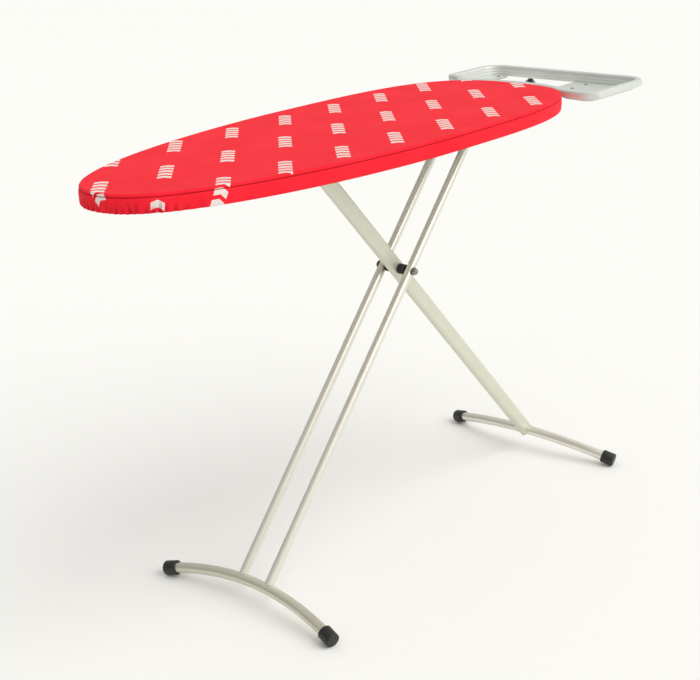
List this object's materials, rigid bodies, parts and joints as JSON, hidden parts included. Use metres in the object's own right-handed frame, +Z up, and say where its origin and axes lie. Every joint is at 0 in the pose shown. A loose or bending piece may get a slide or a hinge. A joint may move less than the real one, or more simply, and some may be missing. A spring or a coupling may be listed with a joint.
{
  "type": "ironing board",
  "caption": "Folding ironing board with a padded deck in a fitted cotton cover, a rimmed iron rest at the tail, and scissor legs of twin round tubes and one oval tube on arched feet",
  "frame": {"origin": "on the floor under the middle of the object's overall box", "axes": "+Z up; +X from the nose of the board to the iron rest; +Y across the board, to the left of someone facing the iron rest from the nose"},
  "size_m": [1.381, 0.4764, 0.9],
  "materials": {
    "cover_cotton": "woven cotton, matt",
    "felt_pad": "needle felt",
    "elastic": "braided cord",
    "deck_steel": "satin grey paint",
    "leg_paint": "satin silver paint",
    "rest_paint": "satin pale grey paint",
    "zinc": "zinc plated",
    "black_plastic": "moulded, slightly glossy"
  },
  "bodies": {
    "board": {"cover": "cover_cotton", "pad": "felt_pad", "hem_elastic": "elastic", "deck": "deck_steel", "glide_rail_left": "zinc", "glide_rail_right": "zinc", "hinge_bracket": "zinc", "hinge_pin": "zinc", "lever_bracket_left": "zinc", "lever_bracket_right": "zinc", "rest_rim": "rest_paint", "rest_plate_left": "rest_paint", "rest_plate_right": "rest_paint", "rest_arm_left": "zinc", "rest_arm_right": "zinc", "rest_rivet_1_left": "zinc", "rest_rivet_1_right": "zinc", "rest_rivet_2_left": "zinc", "rest_rivet_2_right": "zinc", "rest_rivet_3_left": "zinc", "rest_rivet_3_right": "zinc", "lever_spring": "zinc"},
    "tail_leg": {"oval_tube": "leg_paint", "oval_plug": "black_plastic", "hinge_bush_left": "black_plastic", "hinge_bush_right": "black_plastic", "tail_foot_bar": "leg_paint", "tail_foot_cap_left": "black_plastic", "tail_foot_cap_right": "black_plastic", "spacer_left": "black_plastic", "spacer_right": "black_plastic", "scissor_bolt": "zinc", "scissor_nut": "zinc", "bolt_washer_left": "zinc", "bolt_washer_right": "zinc"},
    "nose_leg": {"twin_tube_left": "leg_paint", "twin_tube_right": "leg_paint", "glide_axle_left": "zinc", "glide_axle_right": "zinc", "glide_left": "black_plastic", "glide_right": "black_plastic", "twin_plug_left": "black_plastic", "twin_plug_right": "black_plastic", "nose_foot_bar": "leg_paint", "nose_foot_cap_left": "black_plastic", "nose_foot_cap_right": "black_plastic"},
    "release_lever": {"lever_shaft": "zinc", "lever_wire": "zinc", "lever_grip": "black_plastic", "pawl_left": "zinc", "pawl_right": "zinc"}
  },
  "joints": [
    {"name": "leg_fold", "type": "hinge", "parent": "board", "child": "tail_leg", "pos_m": [-0.16618, 0, 0.842], "axis": [0, -1, 0], "range_deg": [0, 48.5]},
    {"name": "scissor_pivot", "type": "hinge", "parent": "tail_leg", "child": "nose_leg", "pos_m": [0.0655, 0, 0.578], "axis": [0, 1, 0], "range_deg": [0, 97.5]},
    {"name": "lever_lift", "type": "hinge", "parent": "board", "child": "release_lever", "pos_m": [0.2035, 0, 0.868], "axis": [0, -1, 0], "range_deg": [0, 4.5], "stiffness_Nm_per_rad": 12, "springref_deg": -2.86}
  ],
  "couplings": [
    {"joint": "scissor_pivot", "follows": "leg_fold", "ratio": 2}
  ]
}
